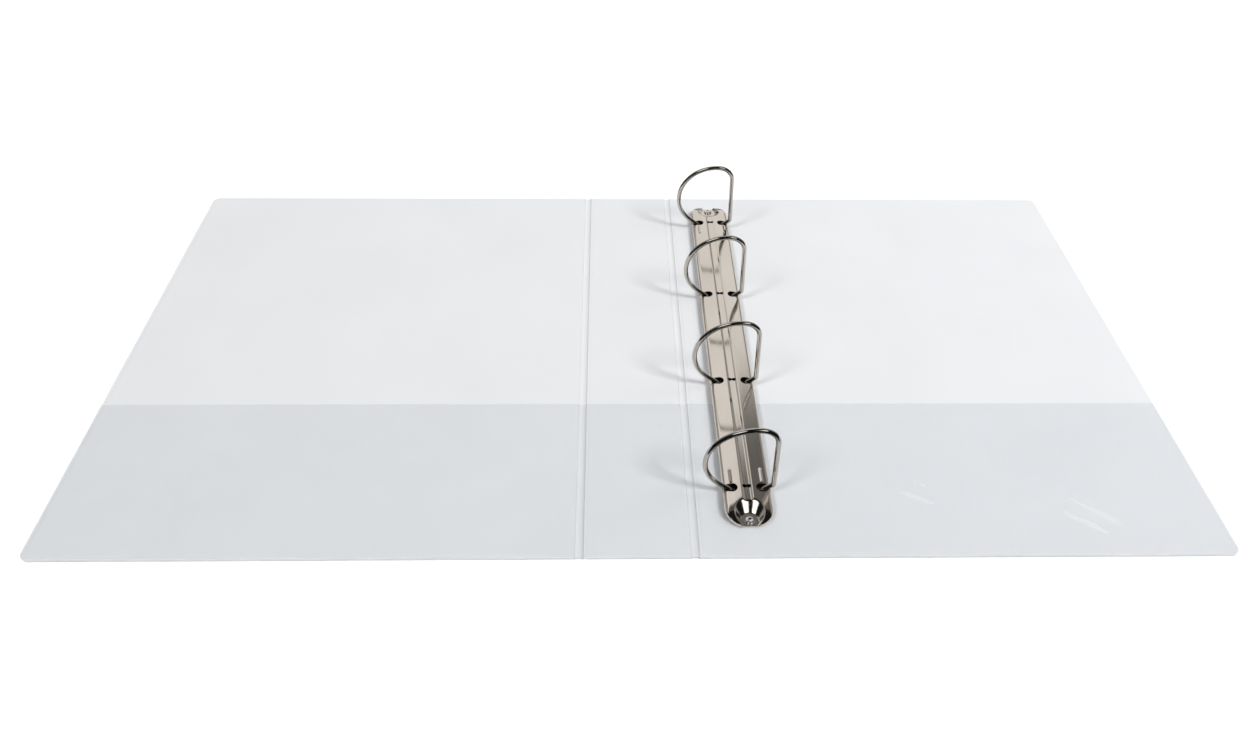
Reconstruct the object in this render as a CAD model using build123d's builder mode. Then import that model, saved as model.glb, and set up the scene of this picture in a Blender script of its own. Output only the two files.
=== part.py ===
"""Four-ring presentation binder, lying open and flat. Millimetres, +Z up.

+X runs across the open covers to the ring side and +Y towards the head of the binder. The origin is
under the middle of the spine, on the surface that the binder lies on.
"""

import os
from math import atan2, cos, radians, sin, tan

from build123d import *

os.makedirs("parts", exist_ok=True)

# ---- Covers, overall ----
binder_height = 318.0  # foot to head
cover_width = 279.5  # hinge centre to free edge
spine_pitch = 59.0  # hinge centre to hinge centre
corner_radius = 4.5  # free corners of the two covers

# ---- Cover layers, from the table up ----
overlay_film = 0.15  # clear outer sleeve
insert_gap = 0.10  # room for a cover sheet between sleeve and skin
skin = 0.25  # white film, outside and inside the board
board = 1.60  # stiffening board
pocket_film = 0.15  # clear inner pocket
pocket_gap = 0.10  # room for a sheet in the pocket
seam = 1.5  # width of the welded border
board_play = 0.2  # board to welded border, all round
edge_round = 0.5  # rounding of the welded border
pocket_height = 105.4  # foot of the binder to the pocket's mouth

# ---- Hinge webs ----
web_width = 4.0  # welded strip, edge to edge
web_thickness = 0.4
web_drop = 0.2  # web's upper face below the inner skin

# ---- Ring mechanism, overall ----
row_offset = 29.65  # hinge centre to the row of rings, on the back cover
row_shift = 0.8  # middle of the row above the middle of the binder
ring_count = 4
ring_pitch = 80.0

# ---- Cover plate of the mechanism ----
sheet = 0.8
plate_width = 26.0
plate_top = 8.0  # above the table
plate_end = 22.3  # last ring to the plate's end
shoulder_width = 2.6  # plate's edge to the start of the rounded shoulder
shoulder_drop = 0.7
wall_top = 4.9  # foot of the rounded shoulder
lip_height = 3.35  # underside of the curled lip
lip_width = 2.6  # plate's edge to the lip's inner edge
groove_width = 5.8
groove_floor = 3.2
groove_depth = 0.8
round_start = 12.5  # last ring to where the end begins to narrow
tip_width = 9.8
rivet_from_ring = 18.8
dish_radius = 8.8  # upper rim of the dished rivet seat
dish_from_ring = 15.8
seat_radius = 4.9
eye_radius = 2.8  # round inner end of a wire opening
eye_from_edge = 5.25
slot_mouth = 3.6  # width of a wire opening at the plate's edge
slot_floor = 5.4  # height that a wire opening is cut down to
stop_slot = (4.4, 1.5)
stop_slot_shift = 1.2
rib_size = (10.0, 1.8)
rib_height = 0.45
rib_from_edge = 4.5
rib_from_ring = 8.0

# ---- Toggle blades ----
blade_thickness = 0.9
pivot_from_edge = 1.7  # plate's edge to each blade's outer edge, where it pivots in the curled lip
pivot_height = 4.9
closed_tilt = 3.3  # degrees that the blades' middles hang below their pivots
blade_gap = 0.3  # between the two blades' meeting edges
blade_end = 5.0  # last ring to the blade's end

# ---- Rings ----
wire_radius = 1.4
stub_radius = 1.0
stake_radius = 1.6
stake_height = 0.45
foot_from_edge = 4.8  # plate's edge to where the wire stands on its blade
leg_slope = 37.0  # degrees, of the wire through the plate's opening
leg_from_edge = 4.6  # a point that both legs pass through, and its height
leg_pass_height = 5.6
ring_top = 52.9  # centreline at the closed tips
round_side_reach = 23.8
round_side_radius = 23.0
post_past_edge = 1.0  # straight side, at its foot, outside the plate's edge
post_lean = 3.0  # degrees
post_bend = 9.8
post_foot_bend = 1.9
foot_bend = 2.0
tip_lap = 1.4  # length of the stepped lock at the tips
tip_play = 0.12

# ---- Rivets ----
rivet_head_radius = 2.65
rivet_head_height = 1.2
rivet_dome = 0.9  # rounding of the head
shank_radius = 2.0
shank_play = 0.1
cap_radius = 4.2
cap_thickness = 0.4
spigot_radius = 1.2
spigot_play = 0.1
spigot_height = 0.9

# ---- For cutting and placing ----
overshoot = 2.0  # how far cutting shapes run past what they cut
on_face = (Align.CENTER, Align.CENTER, Align.MIN)

# ---- Heights that follow ----
outer_skin_low = overlay_film + insert_gap
board_low = outer_skin_low + skin
board_top = board_low + board
inner_face = board_top + skin
border_split = (board_low + board_top) / 2
pocket_low = inner_face + pocket_gap
pocket_top = pocket_low + pocket_film
web_top = inner_face - web_drop
seat_low = pocket_top

# ---- Places that follow ----
hinge_x = spine_pitch / 2
half_height = binder_height / 2
half_web = web_width / 2
row_x = hinge_x + row_offset
half_row = ring_pitch * (ring_count - 1) / 2
ring_places = [row_shift + half_row - ring_pitch * i for i in range(ring_count)]
edge_x = hinge_x + cover_width
half_plate = plate_width / 2
shoulder_reach = half_plate - shoulder_width
eye_reach = half_plate - eye_from_edge
rib_reach = half_plate - rib_from_edge
pivot_reach = half_plate - pivot_from_edge
foot_reach = half_plate - foot_from_edge
post_reach = half_plate + post_past_edge

# Each panel: its two sides in X, and the side with free, rounded corners.
panels = {
    "front": (-edge_x, -hinge_x - half_web, -1),
    "spine": (-hinge_x + half_web, hinge_x - half_web, 0),
    "back": (hinge_x + half_web, edge_x, 1),
}


def panel_shape(panel, height, inset=0.0, foot=-half_height, head=half_height):
    """Outline of a panel at a height, drawn in by inset, with its free corners rounded."""
    left, right, free_side = panels[panel]
    with BuildSketch(Plane.XY.offset(height)) as shape:
        with Locations(((left + right) / 2, (foot + head) / 2)):
            Rectangle(right - left - 2 * inset, head - foot - 2 * inset)
        radius = corner_radius - inset
        if free_side and radius > 0:
            columns = shape.vertices().group_by(Axis.X)
            fillet(columns[0 if free_side < 0 else -1], radius)
    return shape.sketch


def free_edges(edges, panel):
    """Those of the given border edges that don't run along a hinge web."""
    beside_web = [x for x in panels[panel][:2] if abs(x) < edge_x]
    return [e for e in edges if min(abs(e.center().X - x) for x in beside_web) > 0.01]


def film_sleeve(panel, low, film, gap, mouth, film_below):
    """Clear film welded on three sides to the skin above or below it, with its mouth at the head side."""
    film_low = low if film_below else low + gap
    gap_low = low + film if film_below else low
    with BuildPart() as sleeve:
        extrude(panel_shape(panel, low), amount=film + gap)
        if mouth < half_height:
            with Locations((0, (mouth + half_height) / 2, low + (film + gap) / 2)):
                Box(2 * (edge_x + overshoot), half_height - mouth, film + gap, mode=Mode.SUBTRACT)
        # The space runs out through the mouth.
        space = panel_shape(panel, gap_low, seam, head=mouth + seam + overshoot)
        extrude(space, amount=gap, mode=Mode.SUBTRACT)
    return sleeve


def drill(places, height, radius, depth):
    """Round holes of one depth, upwards from a height, in the piece being built."""
    with Locations(*[(x, y, height) for x, y in places]):
        Cylinder(radius, depth, align=on_face, mode=Mode.SUBTRACT)


def write(piece, name):
    piece.part.label = name
    export_step(piece.part, f"parts/{name}.step")


# Rivet places, and the hole that a shank needs in each layer of the back cover.
rivet_places = {
    "head": (row_x, ring_places[0] + rivet_from_ring),
    "foot": (row_x, ring_places[-1] - rivet_from_ring),
}
shank_hole = shank_radius + shank_play

# ---- The three panels ----
for panel in panels:
    drilled = list(rivet_places.values()) if panel == "back" else []

    overlay = film_sleeve(panel, 0, overlay_film, insert_gap, half_height, film_below=True)
    write(overlay, f"{panel}_overlay")

    with BuildPart() as outer_skin:
        extrude(panel_shape(panel, outer_skin_low), amount=border_split - outer_skin_low)
        fillet(free_edges(outer_skin.edges().group_by(Axis.Z)[0], panel), edge_round)
        inside = panel_shape(panel, board_low, seam)
        extrude(inside, amount=border_split - board_low, mode=Mode.SUBTRACT)
    write(outer_skin, f"{panel}_outer_skin")

    with BuildPart() as stiff_board:
        extrude(panel_shape(panel, board_low, seam + board_play), amount=board)
        if drilled:
            drill(drilled, board_low, shank_hole, board)
            drill(drilled, board_low, cap_radius + shank_play, cap_thickness)
    write(stiff_board, f"{panel}_board")

    with BuildPart() as inner_skin:
        extrude(panel_shape(panel, border_split), amount=inner_face - border_split)
        fillet(free_edges(inner_skin.edges().group_by(Axis.Z)[-1], panel), edge_round)
        inside = panel_shape(panel, border_split, seam)
        extrude(inside, amount=board_top - border_split, mode=Mode.SUBTRACT)
        if drilled:
            drill(drilled, board_top, shank_hole, skin)
    write(inner_skin, f"{panel}_inner_skin")

    mouth = pocket_height - half_height
    pocket = film_sleeve(panel, inner_face, pocket_film, pocket_gap, mouth, film_below=False)
    if drilled:
        with pocket:
            drill([rivet_places["foot"]], inner_face, shank_hole, pocket_top - inner_face)
    write(pocket, f"{panel}_pocket")

# ---- Hinge webs, one on each side of the spine ----
for name, web_x in (("front_hinge_web", -hinge_x), ("spine_hinge_web", hinge_x)):
    with BuildPart() as web:
        with Locations((web_x, 0, web_top - web_thickness / 2)):
            Box(web_width, binder_height, web_thickness)
    write(web, name)

# ---- Cover plate of the ring mechanism ----
half_length = half_row + plate_end
groove_z = plate_top - groove_depth
groove_turn = atan2(groove_depth, (groove_width - groove_floor) / 2)
sides = {"left": -1, "right": 1}
ends = (-1, 1)


def row_plan(height):
    """Level plane at a height, centred on the row of rings, +Y towards the head."""
    return Plane(origin=(row_x, row_shift, height))


row_section = Plane(origin=(row_x, row_shift, 0), x_dir=(1, 0, 0), z_dir=(0, -1, 0))


def plate_outline(height, inset):
    """Plan of the plate, drawn in by inset, narrowing to a short straight tip at each end."""
    side = half_plate - inset
    tip = half_length - inset
    half_tip = (tip_width - inset) / 2
    with BuildSketch(row_plan(height)) as outline:
        with BuildLine():
            straight = Line((side, 0), (side, half_row + round_start))
            TangentArc(straight @ 1, (half_tip, tip), tangent=(0, 1))
            Polyline((half_tip, tip), (0, tip), (0, 0), (side, 0))
        make_face()
        mirror(about=Plane.YZ)
        mirror(about=Plane.XZ)
    return outline.sketch


def plate_section(inset, low):
    """Cross section of the plate from low up to its outer face, or to its inner face by inset."""
    wall = half_plate - inset
    top = plate_top - inset
    groove_spread = inset * tan(groove_turn / 2)
    groove_edge = (groove_width / 2 + groove_spread, top)
    shoulder = (shoulder_reach, top - shoulder_drop)
    slope = (shoulder[0] - groove_edge[0], -shoulder_drop)
    with BuildSketch(row_section) as section:
        with BuildLine():
            Polyline(
                (wall, wall_top),
                (wall, low),
                (0, low),
                (0, groove_z - inset),
                (groove_floor / 2 + groove_spread, groove_z - inset),
                groove_edge,
                shoulder,
            )
            TangentArc(shoulder, (wall, wall_top), tangent=slope)
        make_face()
        mirror(about=Plane.YZ)
    return section.sketch


def dish(end, grow, low):
    """Slanted cone over a rivet, from low to above the plate, swollen all round by grow."""
    rise = plate_top - (seat_low + sheet)
    over = 1 + overshoot / rise
    upper_radius = seat_radius + (dish_radius - seat_radius) * over
    upper_place = rivet_from_ring + (dish_from_ring - rivet_from_ring) * over
    with BuildPart() as cone:
        with BuildSketch(row_plan(low)):
            with Locations((0, end * (half_row + rivet_from_ring))):
                Circle(seat_radius + grow)
        with BuildSketch(row_plan(plate_top + overshoot)):
            with Locations((0, end * (half_row + upper_place))):
                Circle(upper_radius + grow)
        loft()
    return cone.part


def wire_opening(side, along):
    """Plan of one opening: a round eye that narrows outwards past the plate's edge."""
    mouth = half_plate + overshoot
    with BuildSketch(row_plan(slot_floor).move(Location((0, along, 0)))) as opening:
        with Locations((side * eye_reach, 0)):
            Circle(eye_radius)
        with BuildLine():
            Polyline(
                (side * eye_reach, -eye_radius),
                (side * mouth, -slot_mouth / 2),
                (side * mouth, slot_mouth / 2),
                (side * eye_reach, eye_radius),
                close=True,
            )
        make_face()
    return opening.sketch


def on_row(height, places):
    """Locations on the row of rings, from (x, y) places measured from its middle."""
    return [row_plan(height).location * Location((x, y, 0)) for x, y in places]


rings = [place - row_shift for place in ring_places]  # along the row, from its middle
seats = [(0, end * (half_row + rivet_from_ring)) for end in ends]
stop_slots = [(0, y + stop_slot_shift) for y in rings]
ribs = [(x, e * (half_row - rib_from_ring)) for x in (-rib_reach, rib_reach) for e in ends]
rib_low = plate_top - shoulder_drop - sheet / 2

with BuildPart() as hollow:
    extrude(plate_section(sheet, lip_height + sheet), amount=half_length, both=True)
    with Locations((row_x, row_shift, lip_height + sheet / 2)):
        Box(2 * (half_plate - lip_width), 2 * half_length, sheet + overshoot)
    extrude(plate_outline(0, sheet), amount=plate_top, mode=Mode.INTERSECT)
    for end in ends:
        add(dish(end, sheet, seat_low), mode=Mode.SUBTRACT)

with BuildPart() as cover_plate:
    extrude(plate_section(0, lip_height), amount=half_length, both=True)
    # The dished rivet seats reach down to the cover.
    with Locations(*on_row(seat_low, seats)):
        Cylinder(seat_radius, 2 * sheet, align=on_face)
    extrude(plate_outline(0, 0), amount=plate_top + overshoot, mode=Mode.INTERSECT)
    add(hollow.part, mode=Mode.SUBTRACT)
    for end in ends:
        add(dish(end, 0, seat_low + sheet), mode=Mode.SUBTRACT)
    # Raised ribs beside the end rings.
    with BuildSketch(row_plan(rib_low)):
        with Locations(*ribs):
            SlotOverall(*rib_size, rotation=90)
    extrude(amount=plate_top + rib_height - shoulder_drop / 2 - rib_low)
    # Openings: one for each wire, a slot in the groove at each ring, and the rivet holes.
    for y in rings:
        for side in sides.values():
            extrude(wire_opening(side, y), amount=plate_top, mode=Mode.SUBTRACT)
    with Locations(*on_row(groove_z, stop_slots)):
        Box(*stop_slot, 2 * overshoot, mode=Mode.SUBTRACT)
    with Locations(*on_row(seat_low, seats)):
        Cylinder(shank_hole, 2 * overshoot, mode=Mode.SUBTRACT)
write(cover_plate, "cover_plate")

# ---- Toggle blades, hanging a little below their pivots while the rings are closed ----
half_blade = half_row + blade_end
blade_reach = pivot_reach / cos(radians(closed_tilt))


def blade_frame(side, along=0.0):
    """Plane through a blade's pivot, its X along the blade to the middle of the plate."""
    tilt = radians(closed_tilt)
    inward = (-side * cos(tilt), 0, -sin(tilt))
    up = (-side * sin(tilt), 0, cos(tilt))
    pivot = (row_x + side * pivot_reach, row_shift + along, pivot_height)
    return Plane(origin=pivot, x_dir=inward, z_dir=up)


foot_along = (pivot_reach - foot_reach) / cos(radians(closed_tilt))

for hand, side in sides.items():
    with BuildPart() as blade:
        with BuildSketch(blade_frame(side)):
            with Locations(((blade_reach - blade_gap / 2) / 2, 0)):
                Rectangle(blade_reach - blade_gap / 2, 2 * half_blade)
        extrude(amount=blade_thickness / 2, both=True)
        # Rounded outer edge, on the pivot line.
        edge_section = Plane(origin=blade_frame(side).origin, x_dir=(1, 0, 0), z_dir=(0, -1, 0))
        with BuildSketch(edge_section):
            Circle(blade_thickness / 2)
        extrude(amount=half_blade, both=True)
        with BuildSketch(blade_frame(side)):
            with Locations(*[(foot_along, y * -side) for y in rings]):
                Circle(stub_radius)
        extrude(amount=blade_thickness, both=True, mode=Mode.SUBTRACT)
    write(blade, f"{hand}_blade")

# ---- Half rings: bent wire, staked into the blades ----
slope = radians(leg_slope)
lean = radians(post_lean)


def leg_height(reach):
    """Height of the sloping part of both legs at a distance from the middle of the plate."""
    return leg_pass_height + (reach - half_plate + leg_from_edge) * tan(slope)


def round_wire():
    """Centreline of the left half ring, from its blade up over the rounded side to the tip."""
    turn_in = round_side_reach - round_side_radius * (1 - sin(slope))
    start = (-turn_in, leg_height(turn_in))
    widest = start[1] + round_side_radius * cos(slope)
    upper = ring_top - widest
    leg = FilletPolyline(
        (-foot_reach, pivot_height - blade_thickness),
        (-foot_reach, leg_height(foot_reach)),
        start,
        radius=foot_bend,
    )
    lower = JernArc(leg @ 1, (-cos(slope), sin(slope)), round_side_radius, leg_slope - 90)
    top = JernArc(lower @ 1, (0, 1), upper, -90)
    Line(top @ 1, (tip_lap / 2, ring_top))


def post_wire():
    """Centreline of the right half ring, from its blade up the straight post to the tip."""
    corner_z = leg_height(post_reach)
    shoulder_x = post_reach - (ring_top - corner_z) * tan(lean)
    FilletPolyline(
        (foot_reach, pivot_height - blade_thickness),
        (foot_reach, leg_height(foot_reach)),
        (post_reach, corner_z),
        (shoulder_x, ring_top),
        (-tip_lap / 2, ring_top),
        radius=[foot_bend, post_foot_bend, post_bend],
    )


for number, place in enumerate(ring_places, start=1):
    ring_section = Plane(origin=(row_x, place, 0), x_dir=(1, 0, 0), z_dir=(0, -1, 0))
    for hand, side in sides.items():
        stand = blade_frame(side, place - row_shift)
        with BuildPart() as ring:
            with BuildLine(ring_section) as wire:
                if hand == "left":
                    round_wire()
                else:
                    post_wire()
            with BuildSketch(Plane(origin=wire.line @ 0, z_dir=wire.line % 0)):
                Circle(wire_radius)
            sweep()
            # The wire stands on its blade, with a staked stub through the blade's hole.
            split(bisect_by=stand.offset(blade_thickness / 2), keep=Keep.TOP)
            with BuildSketch(stand.offset(blade_thickness / 2)):
                with Locations((foot_along, 0)):
                    Circle(stub_radius)
            extrude(amount=-blade_thickness)
            with BuildSketch(stand.offset(-blade_thickness / 2)):
                with Locations((foot_along, 0)):
                    Circle(stake_radius)
            extrude(amount=-stake_height)
            # Stepped lock: the left tip keeps its lower half, the right tip its upper half.
            lap = tip_lap + tip_play
            with Locations((row_x, place, ring_top - side * (wire_radius - tip_play / 2))):
                Box(lap, 2 * overshoot, 2 * wire_radius, mode=Mode.SUBTRACT)
        write(ring, f"ring_{number}_{hand}")

# ---- Rivets, each closed by a cap under the board ----
rivet_low = board_low + cap_thickness
head_low = seat_low + sheet
for end, (x, y) in rivet_places.items():
    with BuildPart() as rivet:
        with Locations((x, y, rivet_low)):
            Cylinder(shank_radius, head_low - rivet_low, align=on_face)
        with Locations((x, y, head_low)):
            Cylinder(rivet_head_radius, rivet_head_height, align=on_face)
        fillet(rivet.edges().group_by(Axis.Z)[-1], rivet_dome)
        drill([(x, y)], rivet_low, spigot_radius + spigot_play, spigot_height + spigot_play)
    write(rivet, f"rivet_{end}")

    with BuildPart() as cap:
        with Locations((x, y, board_low)):
            Cylinder(cap_radius, cap_thickness, align=on_face)
        with Locations((x, y, rivet_low)):
            Cylinder(spigot_radius, spigot_height, align=on_face)
    write(cap, f"rivet_cap_{end}")
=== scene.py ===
"""Looks of the four-ring binder, laid out as a Blender add-on.

Metres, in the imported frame's axes: +X across the open covers to the ring side, +Y to the head, +Z up.
Sections of the ring mechanism are drawn in millimetres from the middle of the row of rings.
"""

import math

import bmesh
import bpy
import numpy as np
from bpy.props import FloatProperty, FloatVectorProperty, IntProperty, PointerProperty
from bpy.types import Operator, Panel, PropertyGroup
from mathutils import Matrix, Vector, noise


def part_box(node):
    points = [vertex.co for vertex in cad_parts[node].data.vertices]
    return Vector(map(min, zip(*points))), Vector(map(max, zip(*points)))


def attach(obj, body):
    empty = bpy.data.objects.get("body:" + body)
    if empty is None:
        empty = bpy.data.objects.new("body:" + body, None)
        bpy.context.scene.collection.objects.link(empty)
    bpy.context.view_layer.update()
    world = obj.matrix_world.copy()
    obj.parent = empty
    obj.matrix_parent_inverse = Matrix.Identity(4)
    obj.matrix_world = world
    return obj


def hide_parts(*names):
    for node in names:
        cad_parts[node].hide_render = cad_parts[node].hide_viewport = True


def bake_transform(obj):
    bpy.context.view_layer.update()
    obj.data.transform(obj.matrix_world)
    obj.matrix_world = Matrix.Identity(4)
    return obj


bl_info = {
    "name": "Ring Binder",
    "version": (1, 0, 0),
    "blender": (4, 5, 0),
    "location": "3D View > Sidebar > Binder",
    "description": "Builds the looks of a four-ring binder round its packed CAD frame",
    "category": "Object",
}

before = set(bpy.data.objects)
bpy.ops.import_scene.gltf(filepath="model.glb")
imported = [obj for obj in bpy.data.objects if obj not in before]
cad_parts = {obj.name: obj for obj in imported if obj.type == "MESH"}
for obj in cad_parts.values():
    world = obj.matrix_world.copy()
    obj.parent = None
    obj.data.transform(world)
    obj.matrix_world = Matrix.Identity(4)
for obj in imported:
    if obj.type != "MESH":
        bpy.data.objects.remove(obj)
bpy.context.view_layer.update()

MM = 0.001
PANELS = ("front", "spine", "back")


def length(name, default, description):
    return FloatProperty(name=name, description=description, default=default, unit="LENGTH", precision=5)


def angle(name, degrees, description):
    return FloatProperty(name=name, description=description, default=math.radians(degrees), unit="ROTATION")


def amount(name, default, description):
    return FloatProperty(name=name, description=description, default=default, precision=3)


def colour(name, default, description):
    return FloatVectorProperty(name=name, description=description, default=default, subtype="COLOR")


# ---- Sizes and colours ----


class FilmSizes(PropertyGroup):
    """Sizes of the welded films of the cover."""

    grid_step: length("Grid step", 0.0026, "Spacing of the mesh over the open part of a film")
    corner_radius: length("Corner radius", 0.0045, "Free corners of the two covers")
    seam: length("Seam", 0.0015, "Width of the welded border")
    seam_dip: length("Seam dip", 0.00007, "Depth of the pressed line inside the border")
    wave_height: length("Wave height", 0.00010, "Height of the slow waves in a film")
    wave_length: length("Wave length", 0.045, "Spacing of the slow waves in a film")
    ripple_height: length("Ripple height", 0.00012, "Height of the slanted ripples in a pocket")
    ripple_length: length("Ripple length", 0.019, "Spacing of the slanted ripples in a pocket")
    pocket_film: length("Pocket film", 0.00015, "Thickness of a pocket's film")


class HingeSizes(PropertyGroup):
    """Sizes of the two welded hinge strips."""

    grid_step: length("Grid step", 0.0005, "Spacing of the mesh across a strip")
    groove_depth: length("Groove depth", 0.00045, "Depth of the strip's middle below its edges")
    thickness: length("Thickness", 0.0003, "Thickness of the strip")
    crinkle_height: length("Crinkle height", 0.00011, "Height of the crinkled weld")
    crinkle_length: length("Crinkle length", 0.0022, "Spacing of the crinkles")


class PlateSizes(PropertyGroup):
    """Sizes of the ring mechanism's cover plate."""

    sheet: length("Sheet", 0.0008, "Thickness of the pressed sheet")
    grid_step: length("Grid step", 0.00034, "Spacing of the mesh across the plate")
    top: length("Top", 0.0080, "Height of the two edges of the groove")
    groove_depth: length("Groove depth", 0.0008, "Depth of the central groove")
    groove_width: length("Groove width", 0.0058, "Width of the groove at the top")
    groove_floor: length("Groove floor", 0.0032, "Width of the groove's floor")
    shoulder_drop: length("Shoulder drop", 0.0007, "Fall of each half from the groove to its shoulder")
    shoulder_reach: length("Shoulder reach", 0.0104, "Middle to the shoulder")
    lip_reach: length("Lip reach", 0.0104, "Middle to the inner edge of the curled lip")
    lip_rise: length("Lip rise", 0.00075, "Curled lip above the underside of the seats")
    end_taper: length("End taper", 0.0125, "Last ring to where an end begins to narrow")
    fall_run: length("Fall run", 0.0175, "Length at each end over which the top falls")
    end_fall: length("End fall", 0.0036, "Fall of the top at each tip")
    tip_width: length("Tip width", 0.0098, "Width of the plate at its two tips")
    dish_radius: length("Dish radius", 0.0088, "Upper rim of the dished rivet seat")
    dish_shift: length("Dish shift", 0.0030, "Rim's centre from the seat's centre, towards the rings")
    seat_radius: length("Seat radius", 0.0049, "Flat seat under a rivet")
    seat_height: length("Seat height", 0.0034, "Height of the seat's upper face")
    rib_reach: length("Rib reach", 0.0085, "Middle to each raised rib")
    rib_from_ring: length("Rib from ring", 0.0080, "End ring to the middle of its ribs")
    rib_length: length("Rib length", 0.0100, "Length of a rib")
    rib_width: length("Rib width", 0.0018, "Width of a rib")
    rib_height: length("Rib height", 0.0005, "Height of a rib")
    eye_reach: length("Eye reach", 0.00775, "Middle to a wire opening's round end")
    eye_radius: length("Eye radius", 0.0028, "Round end of a wire opening")
    mouth_width: length("Mouth width", 0.0036, "Wire opening at the edge of the plate")
    opening_floor: length("Opening floor", 0.0054, "Height that a wire opening is cut down to")
    stop_reach: length("Stop reach", 0.00118, "Middle to each lobe of a stop slot")
    stop_radius: length("Stop radius", 0.00122, "Lobe of a stop slot")
    stop_waist: length("Stop waist", 0.00065, "Half the width of a stop slot between its lobes")
    stop_shift: length("Stop shift", 0.0012, "Stop slot from its ring, towards the head")


class RingSizes(PropertyGroup):
    """Sizes of the bent wire rings."""

    wire_radius: length("Wire radius", 0.0014, "Radius of the wire")
    stub_radius: length("Stub radius", 0.0010, "Stub through the blade")
    stake_radius: length("Stake radius", 0.0016, "Spread head under the blade")
    stake_low: length("Stake low", 0.00382, "Lowest point of the spread head")
    blade_low: length("Blade low", 0.00427, "Underside of the blade at the wire")
    blade_top: length("Blade top", 0.00514, "Upper face of the blade at the wire")
    foot_reach: length("Foot reach", 0.0082, "Middle to the foot of the wire")
    foot_bend: length("Foot bend", 0.0020, "Bend from the foot into the sloping leg")
    leg_slope: angle("Leg slope", 37, "Rise of the wire through the plate's opening")
    leg_reach: length("Leg reach", 0.0084, "Middle to a point that both legs pass through")
    leg_height: length("Leg height", 0.0056, "Height of that point")
    side_reach: length("Side reach", 0.0238, "Middle to the widest point of the round side")
    side_radius: length("Side radius", 0.0230, "Radius of the round side below its widest point")
    post_reach: length("Post reach", 0.0140, "Middle to the foot of the straight side")
    post_lean: angle("Post lean", 3, "Lean of the straight side")
    post_foot_bend: length("Post foot bend", 0.0019, "Bend at the foot of the straight side")
    post_bend: length("Post bend", 0.0098, "Bend at the top of the straight side")
    ring_top: length("Ring top", 0.0529, "Height of the wire's centre at the tips")
    step_reach: length("Step reach", 0.00076, "Middle to the step of each tip")
    step_play: length("Step play", 0.00012, "Gap between the stepped tips")
    sides: IntProperty(name="Sides", description="Faces round the wire", default=22)


class RivetSizes(PropertyGroup):
    """Sizes of the two rivets."""

    head_radius: length("Head radius", 0.00265, "Radius of a rivet's head")
    head_height: length("Head height", 0.0012, "Height of a rivet's head above its seat")
    shank_radius: length("Shank radius", 0.0020, "Radius of a rivet's shank")
    dimple: length("Dimple", 0.00035, "Depth of the dimple in the head")
    sides: IntProperty(name="Sides", description="Faces round a rivet", default=48)


class StageSizes(PropertyGroup):
    """Camera, floor and lights."""

    camera_place: FloatVectorProperty(
        name="Camera place", description="Where the camera stands", subtype="TRANSLATION",
        default=(-0.01448, -0.41230, 0.38549), precision=5,
    )
    camera_tilt: angle("Camera tilt", 44.993, "Camera's turn up from straight down")
    camera_turn: angle("Camera turn", -1.501, "Camera's turn about the vertical")
    camera_roll: angle("Camera roll", 0.985, "Camera's turn about its own line of sight")
    lens: amount("Lens", 25.726, "Focal length in millimetres")
    floor_size: length("Floor size", 8.0, "Side of the square floor")
    floor_colour: colour("Floor colour", (0.97, 0.97, 0.97), "Colour of the floor")
    key_strength: amount("Key strength", 2.10, "Light from the front right")
    key_colour: colour("Key colour", (1.0, 0.995, 0.99), "Colour of that light")
    fill_strength: amount("Fill strength", 1.16, "Light from the front left")
    fill_colour: colour("Fill colour", (0.99, 0.995, 1.0), "Colour of that light")
    side_power: amount("Side power", 6.0, "Lamp beside the back cover")
    backdrop: amount("Backdrop", 0.98, "Surroundings as the camera sees them past the floor")


# The two tones that the grain of each finish mixes over its surface.
TONES = {
    "white_film": ((0.655, 0.663, 0.679), (0.675, 0.682, 0.698)),
    "hinge_film": ((0.665, 0.673, 0.689), (0.585, 0.598, 0.618)),
    "clear_film": ((0.56, 0.60, 0.64), (0.70, 0.73, 0.77)),
    "nickel_plate": ((0.76, 0.69, 0.61), (0.81, 0.745, 0.665)),
    "ring_wire": ((0.52, 0.49, 0.45), (0.58, 0.55, 0.51)),
    "rivet_metal": ((0.78, 0.77, 0.75), (0.88, 0.87, 0.85)),
    "blade_steel": ((0.11, 0.105, 0.10), (0.17, 0.16, 0.15)),
    "board": ((0.36, 0.33, 0.29), (0.47, 0.44, 0.39)),
}


class FinishColours(PropertyGroup):
    """The two tones of each finish."""

    __annotations__ = {
        f"{slot}_{number}": colour(f"{slot} {number}", tone, f"Tone {number} of this finish")
        for slot, pair in TONES.items() for number, tone in enumerate(pair, 1)
    }


SETTINGS = {
    "binder_films": FilmSizes,
    "binder_hinges": HingeSizes,
    "binder_plate": PlateSizes,
    "binder_rings": RingSizes,
    "binder_rivets": RivetSizes,
    "binder_stage": StageSizes,
    "binder_colours": FinishColours,
}


# ---- Places taken from the frame ----


def middle(node):
    low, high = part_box(node)
    return (low + high) / 2


row_x = middle("cover_plate").x
row_y = middle("cover_plate").y
ring_places = [middle(f"ring_{number}_left").y for number in range(1, 5)]
ring_pitch = ring_places[0] - ring_places[1]
half_row = (ring_places[0] - ring_places[-1]) / 2
rivet_places = [middle("rivet_head").y, middle("rivet_foot").y]


# ---- Meshes ----


def reworked(mesh, operation, parts, **settings):
    """Runs one mesh operation on all parts of that kind: verts, edges or faces."""
    shell = bmesh.new()
    shell.from_mesh(mesh)
    operation(shell, **{parts: getattr(shell, parts)}, **settings)
    shell.to_mesh(mesh)
    shell.free()


def new_object(name, data):
    """An object linked to the scene."""
    made = bpy.data.objects.new(name, data)
    bpy.context.scene.collection.objects.link(made)
    return made


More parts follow.
